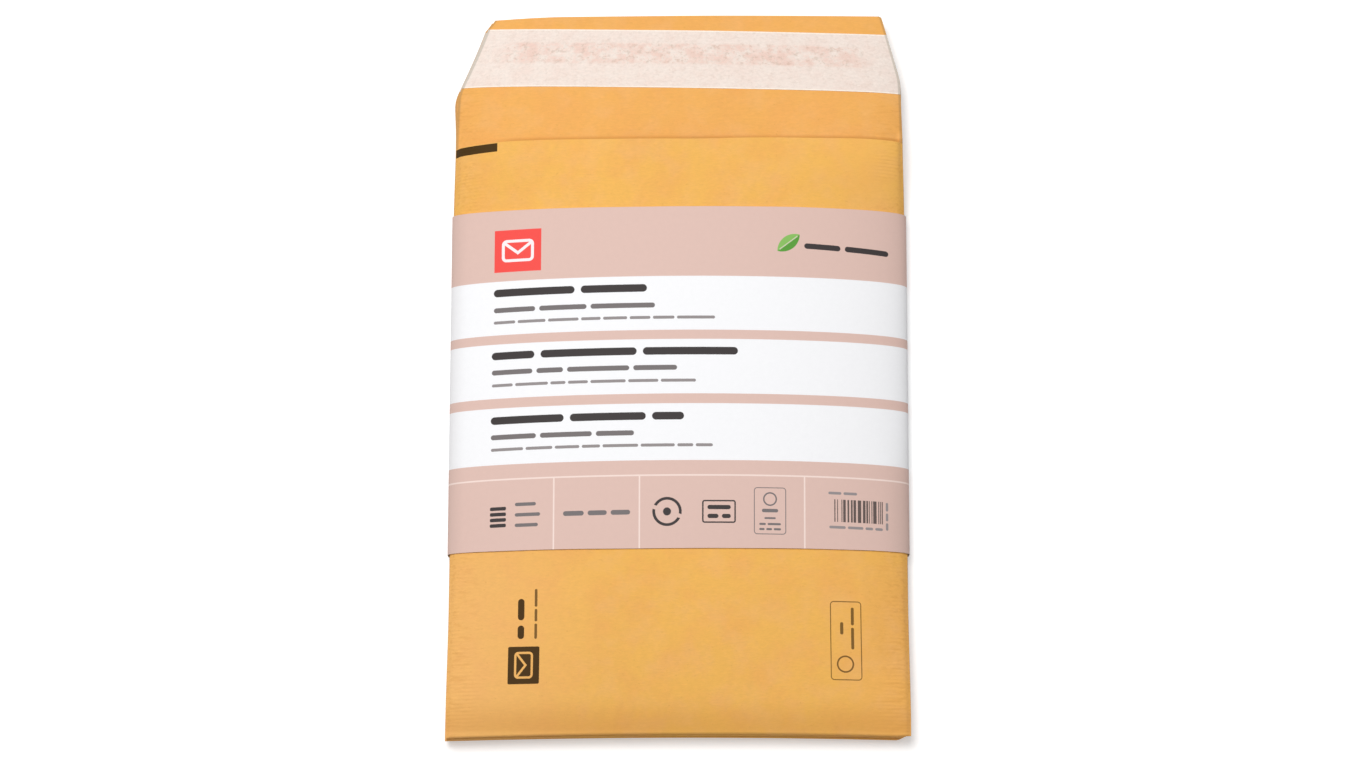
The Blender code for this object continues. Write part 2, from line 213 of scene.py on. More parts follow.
# The paper padding: two linings of three plies each, with the pocket between them
PLIES = 6
PLY_WALL = 0.15 * MM
PLY_CLEARANCE = 0.28 * MM
PLY_HALF = 82.0 * MM
PLY_START = 3.0 * MM
PLY_SETBACK = 1.5 * MM
PLY_RAGGED = 0.45 * MM
PLY_RAGGED_SIZE = 7.0 * MM
PLY_EDGE_COLUMNS = 6
PLY_MIDDLE_COLUMNS = 40
PLY_DEEP_PITCH = 12.0 * MM
PLY_MOUTH_REACH = 30.0 * MM
PLY_MOUTH_PITCH = 3.0 * MM
PLY_LIP_REACH = 6.0 * MM
PLY_LIP_ROWS = 5
CRINKLE_SHARE = 0.24
CRINKLE_SIZE = 6.0 * MM
POCKET_GAP = 0.5 * MM

# The place of the printed front among a kraft sheet's paints
FRONT_PAINT = 3

# Seeds of the random hills. Most have the mailer's number added.
LIP_SEED = 5
FLAP_SEED = 11
CRIMP_SEED = 20
DENT_SEED = 30
PUCKER_SEED = 40
RAGGED_SEED = 50
CRINKLE_SEED = 60
COCKLE_SEED = 70
SLACK_SEED = 80
FRILL_SEED = 81


def mix(low, high, share):
    """The value that lies the given share of the way from low to high."""
    return low + (high - low) * share


def ease(share):
    """A smooth step from 0 to 1."""
    share = np.clip(share, 0.0, 1.0)
    return share * share * (3.0 - 2.0 * share)


def rumple(x, y, size, seed):
    """Smooth random hills of the given size, from -1 to 1."""
    return np.array([noise.noise((a, b, 3.7 * seed)) for a, b in zip(x / size, y / size)])


# How the padded stack swells, as the solids have it

def loosened(y):
    """How free the stack is of the band's grip: 0 under the band, 1 at the mouth."""
    return ease((y - BAND_HIGH_Y) / (MOUTH_Y - BAND_HIGH_Y))


def crown(x, y):
    """The padding's swell across the pack, 1 in the middle and 0 beyond the side edges."""
    roundness = mix(BANDED_ROUNDNESS, OPEN_ROUNDNESS, loosened(y))
    share = np.clip(x / BAND_HALF, -1.0, 1.0)
    reach = np.abs(share - CROWN_SHIFT / BAND_HALF * (1.0 - share ** 2))
    return (1.0 - reach ** roundness) ** CROWN_POWER


def thickness(x, y):
    """One padded mailer's thickness at a point of the pack."""
    y = np.minimum(y, MOUTH_Y)
    at_mouth = mix(DROOPED_EDGE_THICKNESS, MOUTH_EDGE_THICKNESS, ease((x / HALF_WIDTH + 1.0) / 2.0))
    to_fold = ease((BAND_LOW_Y - y) / (BAND_LOW_Y - BOTTOM_Y))
    below = mix(BANDED_EDGE_THICKNESS, FOLD_EDGE_THICKNESS, to_fold)
    edge = mix(below, at_mouth, loosened(y))
    full = mix(FULL_THICKNESS, FOLD_THICKNESS, np.exp(-np.maximum(y - BOTTOM_Y, 0.0) / FOLD_REACH))
    return mix(edge, full, crown(x, y))


def level(number, x, y):
    """Height of the underside of a mailer, counted from 0. Level 4 is the top of the stack."""
    underside = STACK_BASE + EDGE_LIFT * (1.0 - crown(x, np.minimum(y, MOUTH_Y))) ** 2
    return underside + number * (thickness(x, y) + STACK_GAP)


def flap_height(number, x, y):
    """Height of a flap's underside, which slopes from the mouth down to its tip."""
    share = np.maximum((y - MOUTH_Y) / FLAP_LENGTH, 0.0)
    bow = FLAP_TIP_BOW * (1.0 - (x / HALF_WIDTH) ** 2)
    tip = FLAP_TIP_HEIGHT + number * FLAP_TIP_PITCH + bow
    wave = FLAP_WAVE * ease(2.0 * share) * rumple(x, y, FLAP_WAVE_SIZE, FLAP_SEED)
    return mix(level(number, x, MOUTH_Y), tip, share ** FLAP_FALL) + wave


def flap_side(x, distance, pull):
    """How far out the flap's side stands, at a distance from the mouth and with its base drawn in."""
    start = np.where(x < 0.0, LEFT_CUT_START, RIGHT_CUT_START)
    depth = np.where(x < 0.0, LEFT_CUT_DEPTH, RIGHT_CUT_DEPTH)
    slope = depth / (FLAP_LENGTH - start)
    past = distance - start - pull / slope
    shoulder = slope * np.clip(past + SHOULDER_LENGTH, 0.0, None) ** 2 / (4.0 * SHOULDER_LENGTH)
    cut = np.where(past < SHOULDER_LENGTH, shoulder, slope * past) + pull * ease(distance / PULL_RUNOUT)
    along = np.clip((distance - start) / (FLAP_LENGTH - start), 0.0, 1.0)
    cut = cut + np.where(x < 0.0, LEFT_CUT_BOW * np.sin(math.pi * along), 0.0)
    clip = LEFT_CLIP_SLOPE * np.maximum(distance - (FLAP_LENGTH - LEFT_CLIP_DEPTH), 0.0)
    over = np.maximum(distance - (FLAP_LENGTH - RIGHT_TIP_RADIUS), 0.0)
    rounding = RIGHT_TIP_RADIUS - np.sqrt(np.maximum(RIGHT_TIP_RADIUS ** 2 - over ** 2, 0.0))
    return HALF_WIDTH - cut - np.where(x < 0.0, clip, rounding)


def tip_slant(x, distance):
    """How far the flap's tip edge falls back towards its left corner."""
    leftward = ease((-x - (HALF_WIDTH - TIP_SLANT_REACH)) / TIP_SLANT_REACH)
    return TIP_SLANT * leftward * ease((distance - (FLAP_LENGTH - TIP_SLANT_DEPTH)) / TIP_SLANT_DEPTH)


def in_flap_outline(x, y, pull, set_in):
    """Draws a point of the full-width sheet in, to the flap's outline less a margin."""
    distance = np.maximum(y - MOUTH_Y, 0.0)
    x = x * (flap_side(x, distance, pull) - SIDE_PULL - set_in) / HALF_WIDTH
    skew = CUT_SKEW * np.minimum(distance / FLAP_LENGTH, 1.0)
    return x, y + x * skew - tip_slant(x, distance)


def lip_fall(x):
    """How far the front's lip lies behind the flap's fold."""
    left = LEFT_CORNER_PULL * ease((-x - (HALF_WIDTH - CORNER_REACH)) / CORNER_REACH)
    right = RIGHT_CORNER_PULL * ease((x - (HALF_WIDTH - CORNER_REACH)) / CORNER_REACH)
    return LIP_SET_BACK + left + right + (HALF_WIDTH - x) * CUT_SKEW


def drawn_in(x, y, front):
    """A point of the flat body once the swell has drawn its edges in and the cut is askew."""
    swell = ease((y - BOTTOM_Y) / SWELL_REACH)
    pull = FOLD_PULL * (1.0 - (x / HALF_WIDTH) ** 2) - FOLD_SKEW * (HALF_WIDTH - x)
    y = y + pull * (1.0 - swell)
    near_mouth = ease((y - (MOUTH_Y - CORNER_REACH)) / CORNER_REACH)
    y = y - front * lip_fall(x) * near_mouth
    return x * (1.0 - SIDE_PULL / HALF_WIDTH * swell), y


def staggered(number, x, y):
    """Where a mailer's own point lies in the stack, with its mouth pulled in and its corner crushed."""
    across, along, turn = STAGGER[number]
    top = number == MAILER_COUNT - 1
    pull = np.where(x < 0.0, TOP_LEFT_PULL, TOP_RIGHT_PULL) if top else MOUTH_PULL
    about_mouth = loosened(y) * (1.0 - ease((y - MOUTH_Y) / PULL_RUNOUT))
    x = x * (1.0 - pull * about_mouth / HALF_WIDTH)
    near_side = ease((x - (HALF_WIDTH - CRUSH_WIDTH)) / CRUSH_WIDTH)
    near_fold = 1.0 - ease((y - BOTTOM_Y) / CRUSH_LENGTH)
    y = y + CRUSH[number] * (near_side * near_fold)
    moved_x = x * math.cos(turn) - y * math.sin(turn) + across
    moved_y = x * math.sin(turn) + y * math.cos(turn) + along
    return moved_x, moved_y


def on_flap_place(number, x, y, set_in=0.0):
    """Where a point of the full-width sheet lies once it is cut, leans and is staggered."""
    x, y = in_flap_outline(x, y, FLAP_PULL[number], set_in)
    lean = FLAP_LEAN[number] * ease((y - MOUTH_Y) / LEAN_REACH)
    return staggered(number, x + lean, y)


# Cutting and finishing sheets

def stops(start, end, pitch):
    """Even stops from start to end, with the end itself left out."""
    count = max(math.ceil(abs(end - start) / pitch), 1)
    return np.linspace(start, end, count + 1)[:-1]


def across_lines(half_width, edge_columns=EDGE_COLUMNS, middle_columns=MIDDLE_COLUMNS):
    """Column lines across a sheet, closer together towards its side edges."""
    inset = EDGE_ZONE * (np.arange(edge_columns) / edge_columns) ** 1.5
    middle = np.linspace(-half_width + EDGE_ZONE, half_width - EDGE_ZONE, middle_columns + 1)
    return np.concatenate((inset - half_width, middle, (half_width - inset)[::-1]))


def flat_grid(columns, rows):
    """A flat grid as a mesh, with the column and row number of each of its points."""
    grid = bmesh.new()
    bmesh.ops.create_grid(grid, x_segments=columns, y_segments=rows, size=1.0)
    mesh = bpy.data.meshes.new("sheet")
    grid.to_mesh(mesh)
    grid.free()
    flat = np.empty(len(mesh.vertices) * 3)
    mesh.vertices.foreach_get("co", flat)
    share = (flat.reshape(-1, 3) + 1.0) / 2.0
    return mesh, np.rint(share[:, 0] * columns).astype(int), np.rint(share[:, 1] * rows).astype(int)


def lay(mesh, x, y, z):
    """Moves a mesh's points to the given places."""
    mesh.vertices.foreach_set("co", np.column_stack((x, y, z)).ravel())
    mesh.update()


def keep_places(mesh, name, x, y):
    """Keeps each point's place on the flat sheet, in millimetres, as a UV map."""
    places = mesh.uv_layers.new(name=name)
    corners = np.empty(len(mesh.loops), dtype=np.int32)
    mesh.loops.foreach_get("vertex_index", corners)
    flat = np.column_stack((x / MM, y / MM))
    places.data.foreach_set("uv", flat[corners].ravel())


def joined(meshes):
    """Several meshes as one."""
    whole = bmesh.new()
    for mesh in meshes:
        whole.from_mesh(mesh)
        bpy.data.meshes.remove(mesh)
    mesh = bpy.data.meshes.new("sheets")
    whole.to_mesh(mesh)
    whole.free()
    return mesh


def paper(name, mesh, wall, paints, node, offset=-1.0):
    """Gives a sheet its wall and finish, and lets it stand for a solid of the pack."""
    for paint in paints:
        mesh.materials.append(paint.material)
    item = bpy.data.objects.new(name, mesh)
    bpy.context.scene.collection.objects.link(item)
    shell = item.modifiers.new("wall", "SOLIDIFY")
    shell.thickness = wall
    shell.offset = offset
    shell.material_offset = 1
    shell.material_offset_rim = 2
    graph = bpy.context.evaluated_depsgraph_get()
    solid = bpy.data.meshes.new_from_object(item.evaluated_get(graph))
    item.modifiers.clear()
    item.data = solid
    bpy.data.meshes.remove(mesh)
    solid.name = name
    solid.shade_smooth()
    solid.set_sharp_from_angle(angle=math.radians(50.0))
    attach(item, "root")
    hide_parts(node)
    return item


# The sheets of one mailer

def body_stops(start, end, fine):
    """Row lines along a ply, fine where it shows and wide apart where the band hides it."""
    if not fine:
        return stops(start, end, HIDDEN_PITCH)
    marks = [BOTTOM_Y, BAND_LOW_Y + UNDER_BAND, BAND_HIGH_Y - UNDER_BAND, MOUTH_Y]
    pitches = [FINE_PITCH, HIDDEN_PITCH, FINE_PITCH]
    if start > end:
        marks.reverse()
    return np.concatenate([stops(*run) for run in zip(marks, marks[1:], pitches)])


def crimp(x, y, seed):
    """Fine ripples that the crimping of the side seams leaves in the paper."""
    seam = ease((np.abs(x) - (HALF_WIDTH - CRIMP_WIDTH)) / CRIMP_FADE)
    strength = np.clip(0.55 + 0.9 * rumple(x, y, CRIMP_PATCH, seed), 0.0, 1.3)
    wander = CRIMP_WANDER * rumple(x, y, CRIMP_WANDER_SIZE, seed + 1)
    return CRIMP_HEIGHT * seam * strength * np.sin(2.0 * math.pi * y / CRIMP_PITCH + wander)


def shown(y):
    """Where the band doesn't cover the stack: 1 outside it and 0 under it."""
    below = ease((BAND_LOW_Y + UNDER_BAND - y) / UNDER_BAND)
    above = ease((y - BAND_HIGH_Y + UNDER_BAND) / UNDER_BAND)
    return np.maximum(below, above)


def score(x, y):
    """The groove along which the flap was scored, right behind the lip."""
    beyond = y - (MOUTH_Y + SCORE_PLACE - lip_fall(x))
    return SCORE_DEPTH * ease((x - SCORE_START) / SCORE_RUNOUT) * np.exp(-(beyond / SCORE_WIDTH) ** 2)


def crease(x, y):
    """A soft crease on the front's lower right."""
    start, end = Vector(CREASE_START), Vector(CREASE_END)
    along = (end - start).normalized()
    past = (x - start.x) * along.x + (y - start.y) * along.y
    aside = (x - start.x) * along.y - (y - start.y) * along.x
    share = past / (end - start).length
    fade = ease(share * 6.0 + 0.6) * ease((1.0 - share) * 2.0)
    return CREASE_HEIGHT * fade * np.exp(-(aside / CREASE_WIDTH) ** 2)


def kraft_sheet(number, paints):
    """One mailer's folded sheet, in one run: flap, back, bottom fold and front."""
    lowest = number == 0
    top = number == MAILER_COUNT - 1
    tip = MOUTH_Y + FLAP_LENGTH
    rise = 1.0 - np.cos(np.linspace(0.0, math.pi / 2.0, TIP_STEPS + 1))
    corner = np.unique(np.concatenate((LEFT_CLIP_DEPTH * rise, RIGHT_TIP_RADIUS * rise[1:])))
    base = MOUTH_Y + FLAP_BASE
    flap = np.concatenate((
        tip - corner[:-1],
        stops(tip - LEFT_CLIP_DEPTH, base, FLAP_PITCH),
        stops(base, MOUTH_Y, FINE_PITCH if top or lowest else HIDDEN_FLAP_PITCH),
    ))
    back = body_stops(MOUTH_Y, BOTTOM_Y, lowest)
    fold = np.full(FOLD_STEPS, BOTTOM_Y)
    front = np.append(body_stops(BOTTOM_Y, MOUTH_Y, top), MOUTH_Y)
    row_y = np.concatenate((flap, back, fold, front))
    turns = stops(0.0, math.pi, math.pi / FOLD_STEPS)
    row_turn = np.concatenate((np.zeros(len(flap) + len(back)), turns, np.full(len(front), math.pi)))
    column_x = across_lines(HALF_WIDTH)
    mesh, column, row = flat_grid(len(column_x) - 1, len(row_y) - 1)
    for face in mesh.polygons:
        if row[face.vertices[0]] >= len(flap) + len(back):
            face.material_index = FRONT_PAINT
    x, y, turn = column_x[column], row_y[row], row_turn[row]
    on_flap = row < len(flap)
    facing_up = (1.0 - np.cos(turn)) / 2.0

    body_x, body_y = drawn_in(x, y - FOLD_ROUNDING * np.sin(turn), facing_up > 0.5)
    lip = rumple(x, np.full_like(x, number), LIP_WAVE_SIZE, LIP_SEED)
    lip = lip * ease((y - MOUTH_Y) / LIP_WAVE_REACH + 1.0)
    body_y = body_y + np.where(facing_up > 0.5, LIP_WAVE * lip, 0.0)
    body_x, body_y = staggered(number, body_x, body_y)
    full = thickness(body_x, body_y)
    pinch = ease((np.abs(x) - (HALF_WIDTH - SEAM_WIDTH)) / PINCH_WIDTH)
    half = mix(full / 2.0, SEAM_HALF, pinch)
    middle = level(number, body_x, body_y) + full / 2.0
    seen = mix(lowest, top, facing_up)
    fine = crimp(x, y, CRIMP_SEED + number) * seen * shown(y)
    loose = mix(HIDDEN_SHARE, 1.0, seen * shown(y)) * (1.0 - pinch)
    dents = DENT_HEIGHT * rumple(x, y, DENT_SIZE, DENT_SEED + number)
    dents = dents + PUCKER_HEIGHT * rumple(x, y, PUCKER_SIZE, PUCKER_SEED)
    dents = dents + top * facing_up * crease(x, y)
    outward = -np.cos(turn)
    body_z = middle + outward * (half + loose * dents + fine) - top * (1.0 - facing_up) * score(x, y)

    flap_x, flap_y = on_flap_place(number, x, y)
    near = 1.0 - ease((y - MOUTH_Y) / SEAM_RUNOUT)
    flap_z = flap_height(number, flap_x, flap_y) + near * pinch * (full / 2.0 - SEAM_HALF)
    rippled = ease((base - y) / CRIMP_RUNOUT) * (top or lowest)
    flap_z = flap_z + rippled * crimp(x, y, CRIMP_SEED + number) - top * score(x, y)
    places = np.where(on_flap, (flap_x, flap_y, flap_z), (body_x, body_y, body_z))
    lay(mesh, *places)
    keep_places(mesh, "sheet", x, y)
    name = f"kraft_sheet_{number + 1}"
    node = f"kraft_wrap_{number + 1}"
    return paper(name, mesh, KRAFT_WALL, paints, node)


def padding_plies(number, paints):
    """The paper padding of one mailer: two linings of three crinkled plies each."""
    plies = []
    column_x = across_lines(PLY_HALF, PLY_EDGE_COLUMNS, PLY_MIDDLE_COLUMNS)
    end = MOUTH_Y - PLY_SETBACK
    row_y = np.concatenate((
        stops(BOTTOM_Y + PLY_START, end - PLY_MOUTH_REACH, PLY_DEEP_PITCH),
        stops(end - PLY_MOUTH_REACH, end - PLY_LIP_REACH, PLY_MOUTH_PITCH),
        np.linspace(end - PLY_LIP_REACH, end, PLY_LIP_ROWS),
    ))
    for ply in range(PLIES):
        mesh, column, row = flat_grid(len(column_x) - 1, len(row_y) - 1)
        x, y = column_x[column], row_y[row]
        wander = rumple(x, np.full_like(x, ply), PLY_RAGGED_SIZE, RAGGED_SEED + number)
        ragged = PLY_RAGGED * (wander + 0.8 * math.sin(2.3 * ply + number))
        y = y + ragged * ease((y - end) / PLY_LIP_REACH + 1.0)
        x, y = staggered(number, *drawn_in(x, y, True))
        room = thickness(x, y) - 2.0 * (KRAFT_WALL + PLY_CLEARANCE) - PLY_WALL
        pocket = np.minimum(POCKET_GAP, room / PLIES)
        share = ply / (PLIES - 1)
        rest = (room - pocket) * share + pocket * (ply >= PLIES / 2)
        seed = CRINKLE_SEED + 7 * number + ply
        crinkle = CRINKLE_SHARE * room / PLIES * rumple(x, y, CRINKLE_SIZE, seed)
        z = level(number, x, y) + KRAFT_WALL + PLY_CLEARANCE + PLY_WALL / 2.0 + rest
        lay(mesh, x, y, z + crinkle)
        plies.append(mesh)
    name = f"padding_plies_{number + 1}"
    node = f"padding_pouch_{number + 1}"
    item = paper(name, joined(plies), PLY_WALL, paints, node, offset=0.0)
    return item


def flap_strip(name, number, row_d, set_in, lift, wall, paints, node):
    """A strip along a flap, whose upper side stands a given lift above the kraft."""
    column_x = across_lines(HALF_WIDTH, STRIP_EDGE_COLUMNS, STRIP_MIDDLE_COLUMNS)
    mesh, column, row = flat_grid(len(column_x) - 1, len(row_d) - 1)
    x, distance = column_x[column], row_d[row]
    skewed = MOUTH_Y + distance - x * LINER_SKEW
    flap_x, flap_y = on_flap_place(number, x, skewed, set_in)
    z = flap_height(number, flap_x, flap_y) + KRAFT_WALL + lift(x, distance)
    lay(mesh, flap_x, flap_y, z)
    keep_places(mesh, "strip", x, distance)
    return paper(name, mesh, wall, paints, node)


def liner_strip(number, paints):
    """The peel-off liner, which stands a little proud over the adhesive."""
    def lift(x, distance):
        """How far the liner's upper side stands above the kraft."""
        inside = np.minimum(distance - ADHESIVE_START, ADHESIVE_START + ADHESIVE_WIDTH - distance)
        inside = np.minimum(inside, HALF_WIDTH - ADHESIVE_SET_IN - np.abs(x))
        over = ease((inside + LINER_STEP / 2.0) / LINER_STEP)
        cockle = COCKLE_HEIGHT * rumple(x, distance, COCKLE_SIZE, COCKLE_SEED + number)
        return LINER_EDGE_LIFT + LINER_SWELL * over + cockle

    row_d = np.linspace(LINER_START, LINER_START + LINER_WIDTH, LINER_ROWS)
    name = f"liner_strip_{number + 1}"
    node = f"release_liner_{number + 1}"
    return flap_strip(name, number, row_d, LINER_SET_IN, lift, LINER_WALL, paints, node)


def adhesive_line(number, paints):
    """The line of adhesive below the liner."""
    row_d = np.linspace(ADHESIVE_START, ADHESIVE_START + ADHESIVE_WIDTH, ADHESIVE_ROWS)
    name = f"adhesive_line_{number + 1}"
    node = f"adhesive_strip_{number + 1}"
    return flap_strip(
        name, number, row_d, ADHESIVE_SET_IN, lambda x, distance: ADHESIVE_LIFT,
        ADHESIVE_WALL, paints, node,
    )


def corner_arc(side, start, end):
    """Points round one of the band's lower corners, as x and height of its inner side."""
    angle = np.linspace(start, end, BAND_CORNER_ROWS)
    x = side * (BAND_HALF - BAND_CORNER * (1.0 - np.cos(angle)))
    return x, BAND_WALL + BAND_CORNER * (1.0 - np.sin(angle))


def belly_band(paints):
    """The printed strip, wound once round the stack and lapped below."""
    under = 2.0 * BAND_WALL + LAP_GLUE
    lap_x = np.array([LAP_END, (LAP_END + LAP_START) / 2.0, LAP_START])
    ramp = np.linspace(0.0, 1.0, BAND_RAMP_STEPS + 1)[1:]
    ramp_x = LAP_START - LAP_RAMP * ramp
    ramp_z = mix(under, BAND_WALL, ease(ramp))
    flat_left = stops(LAP_START - LAP_RAMP, -BAND_HALF + BAND_CORNER, BAND_LEFT_PITCH)[1:]
    left_x, left_z = corner_arc(-1.0, math.pi / 2.0, 0.0)
    angle = np.linspace(-math.pi / 2.0, math.pi / 2.0, BAND_TOP_ROWS)
    top_x = BAND_HALF * np.sin(angle)
    right_x, right_z = corner_arc(1.0, 0.0, math.pi / 2.0)
    flat_right = stops(BAND_HALF - BAND_CORNER, LAP_START, BAND_RIGHT_PITCH)[1:]
    flat_right = np.append(flat_right, LAP_START)
    path_x = np.concatenate((lap_x, ramp_x, flat_left, left_x, top_x, right_x, flat_right))
    path_z = np.concatenate((
        np.full(len(lap_x), under), ramp_z, np.full(len(flat_left), BAND_WALL),
        left_z, np.zeros(len(top_x)), right_z, np.full(len(flat_right), BAND_WALL),
    ))
    before_top = len(lap_x) + len(ramp_x) + len(flat_left) + len(left_x)
    mesh, column, row = flat_grid(BAND_COLUMNS, len(path_x) - 1)
    own_y = mix(BAND_HIGH_Y, BAND_LOW_Y, column / BAND_COLUMNS)
    x = path_x[row]
    y = own_y + x * BAND_SKEW
    on_top = (row >= before_top) & (row < before_top + len(top_x))
    swell = level(MAILER_COUNT, x, y)
    edge = np.minimum(own_y - BAND_LOW_Y, BAND_HIGH_Y - own_y)
    frill = FRILL_HEIGHT * rumple(x, np.zeros_like(x), FRILL_SIZE, FRILL_SEED)
    frill = frill * ease(1.0 - edge / FRILL_REACH)
    slack = SLACK_HEIGHT * (1.0 + rumple(x, y, SLACK_SIZE, SLACK_SEED)) * crown(x, y) ** 2
    z = np.where(on_top, swell + slack, path_z[row])
    lay(mesh, x, y + frill * on_top, z)
    return paper("belly_band", mesh, BAND_WALL, paints, "paper_band", offset=1.0)


# Shader expressions

class Field:
    """A socket's value, which varies over a surface. Arithmetic on it adds Math nodes."""

    def __init__(self, nodes, socket):
        self.nodes = nodes
        self.socket = socket

    def __add__(self, other):
        return self.nodes.math("ADD", self, other)

    def __sub__(self, other):
        return self.nodes.math("SUBTRACT", self, other)

    def __rsub__(self, other):
        return self.nodes.math("SUBTRACT", other, self)

    def __mul__(self, other):
        return self.nodes.math("MULTIPLY", self, other)

    def __truediv__(self, other):
        return self.nodes.math("DIVIDE", self, other)

    def __gt__(self, other):
        return self.nodes.math("GREATER_THAN", self, other)

    def __abs__(self):
        return self.nodes.math("ABSOLUTE", self)

    __radd__ = __add__
    __rmul__ = __mul__


class Nodes:
    """The node tree of a finish or of the world, and what adds nodes to it."""

    def __init__(self, tree):
        self.tree = tree

    def node(self, kind, settings=None, values=None, output=0):
        """Any node: its settings first, then the values or links of its sockets."""
        item = self.tree.nodes.new(kind)
        for key, value in (settings or {}).items():
            setattr(item, key, value)
        for key, value in (values or {}).items():
            if isinstance(value, Field):
                self.tree.links.new(value.socket, item.inputs[key])
            else:
                item.inputs[key].default_value = value
        return Field(self, item.outputs[output])

    def math(self, operation, first, second=0.0, third=0.0, clamp=False):
        """One step of arithmetic on numbers or fields."""
        settings = {"operation": operation, "use_clamp": clamp}
        return self.node("ShaderNodeMath", settings, {0: first, 1: second, 2: third})

    def smaller(self, first, second):
        """The smaller of two values: where two shapes are joined."""
        return self.math("MINIMUM", first, second)

    def larger(self, first, second):
        """The larger of two values: where two shapes overlap."""
        return self.math("MAXIMUM", first, second)

    def step(self, value, start, end):
        """A smooth step from 0 at start to 1 at end."""
        settings = {"interpolation_type": "SMOOTHSTEP"}
        return self.node("ShaderNodeMapRange", settings, {0: value, 1: start, 2: end})

    def parts(self, place, names):
        """The named parts of a vector, such as XY."""
        return [self.node("ShaderNodeSeparateXYZ", None, {0: place}, name) for name in names]

    def length(self, x, y):
        """The length of a flat vector."""
        flat = self.node("ShaderNodeCombineXYZ", None, {0: x, 1: y})
        return self.node("ShaderNodeVectorMath", {"operation": "LENGTH"}, {0: flat}, "Value")

    def colour(self, share, low, high, blend="MIX"):
        """One colour over another, by a share."""
        settings = {"data_type": "RGBA", "blend_type": blend}
        return self.node("ShaderNodeMix", settings, {0: share, 6: low, 7: high}, 2)


class Paint(Nodes):
    """One finish under construction: a material, and the nodes behind its shader."""

    def __init__(self, name, roughness, gloss=0.1):
        self.material = bpy.data.materials.new(name)
        self.material.use_nodes = True
        super().__init__(self.material.node_tree)
        self.shader = self.tree.nodes["Principled BSDF"]
        self.shader.inputs["Roughness"].default_value = roughness
        self.shader.inputs["Specular IOR Level"].default_value = gloss
        place = self.node("ShaderNodeTexCoord", output="Object")
        values = {0: place, "Scale": 1.0 / MM}
        self.place = self.node("ShaderNodeVectorMath", {"operation": "SCALE"}, values)
        self.x, self.y, self.z = self.parts(self.place, "XYZ")

    def on_sheet(self, name):
        """The place on the flat sheet: the UV map's own vector, and its two parts."""
        place = self.node("ShaderNodeUVMap", {"uv_map": name})
        return place, *self.parts(place, "XY")

    def cloud(self, size, detail=2.0, roughness=0.5, stretch=(1.0, 1.0), distortion=0.0, place=None):
        """Soft noise from 0 to 1 with hills of the given size, in millimetres."""
        scale = (stretch[0] / size, stretch[1] / size, 1.0 / size)
        values = {0: place or self.place, 1: scale}
        scaled = self.node("ShaderNodeVectorMath", {"operation": "MULTIPLY"}, values)
        values = {
            "Vector": scaled, "Scale": 1.0,
            "Detail": detail, "Roughness": roughness, "Distortion": distortion,
        }
        return self.node("ShaderNodeTexNoise", None, values)

    def finish(self, colour, roughness=None, height=None):
        """Feeds the shader: colour, roughness, and a height in millimetres for its bump."""
        self.tree.links.new(colour.socket, self.shader.inputs["Base Color"])
        if roughness is not None:
            self.tree.links.new(roughness.socket, self.shader.inputs["Roughness"])
        if height is not None:
            values = {"Strength": 1.0, "Distance": MM, "Height": height}
            bump = self.node("ShaderNodeBump", None, values)
            self.tree.links.new(bump.socket, self.shader.inputs["Normal"])
        return self


def tone(code):
    """A written colour such as F0B85A, as the shader's linear colour."""
    parts = [int(code[place:place + 2], 16) / 255.0 for place in (0, 2, 4)]
    linear = [part / 12.92 if part <= 0.04045 else ((part + 0.055) / 1.055) ** 2.4 for part in parts]
    return (*linear, 1.0)


# Print: distances in millimetres outside a shape, negative inside it

def ink(paint, distance, edge=0.14):
    """How much of a point the shape covers, with an edge a little soft."""
    return paint.math("MULTIPLY_ADD", distance, -1.0 / edge, 0.5, clamp=True)


def span(value, low, high):
    """A strip from low to high."""
    return abs(value - (low + high) / 2.0) - (high - low) / 2.0


def square(paint, x, y, box):
    """A box with sharp corners, given as left, low, right and high."""
    left, low, right, high = box
    return paint.larger(span(x, left, right), span(y, low, high))


def rounded(paint, x, y, box, radius):
    """A box with round corners."""
    left, low, right, high = box
    across = paint.larger(span(x, left + radius, right - radius), 0.0)
    along = paint.larger(span(y, low + radius, high - radius), 0.0)
    return paint.length(across, along) - radius


def outline(distance, stroke):
    """The edge line of a shape."""
    return abs(distance) - stroke / 2.0


def disc(paint, x, y, centre, radius):
    """A round spot."""
    return paint.length(x - centre[0], y - centre[1]) - radius


def closest(paint, shapes):
    """The union of several shapes."""
    whole = shapes[0]
    for shape in shapes[1:]:
        whole = paint.smaller(whole, shape)
    return whole


def word_bars(paint, x, y, line):
    """A line of round-ended bars of random length, which stand for the words of a line."""
    left, right, middle, height, count = line
    chance = random.Random(left + 3.0 * middle)
    lengths = [chance.uniform(0.5, 1.5) for _ in range(count)]
    gap = 0.8 * height
    unit = (right - left - gap * (count - 1)) / sum(lengths)
    bars = []
    for length in lengths:
        half = length * unit / 2.0
        bars.append(abs(x - (left + half)) - (half - height / 2.0))
        left += 2.0 * half + gap
    beyond = paint.larger(closest(paint, bars), 0.0)
    return paint.length(beyond, y - middle) - height / 2.0


def bar_lines(paint, x, y, *lines):
    """Several lines of such bars."""
    return closest(paint, [word_bars(paint, x, y, line) for line in lines])


def envelope_sign(paint, x, y, centre, width, stroke):
    """A plain envelope drawn as a line: its outline and the V of its flap."""
    height = 0.68 * width
    left, low = centre[0] - width / 2.0, centre[1] - height / 2.0
    frame_box = (left, low, left + width, low + height)
    body = rounded(paint, x, y, frame_box, 0.12 * width)
    fall = y - centre[1] + 0.08 * width - abs(x - centre[0]) * 0.78
    flap = paint.larger(abs(fall) * 0.79 - stroke / 2.0, body)
    return paint.smaller(outline(body, stroke), flap)


# Finishes

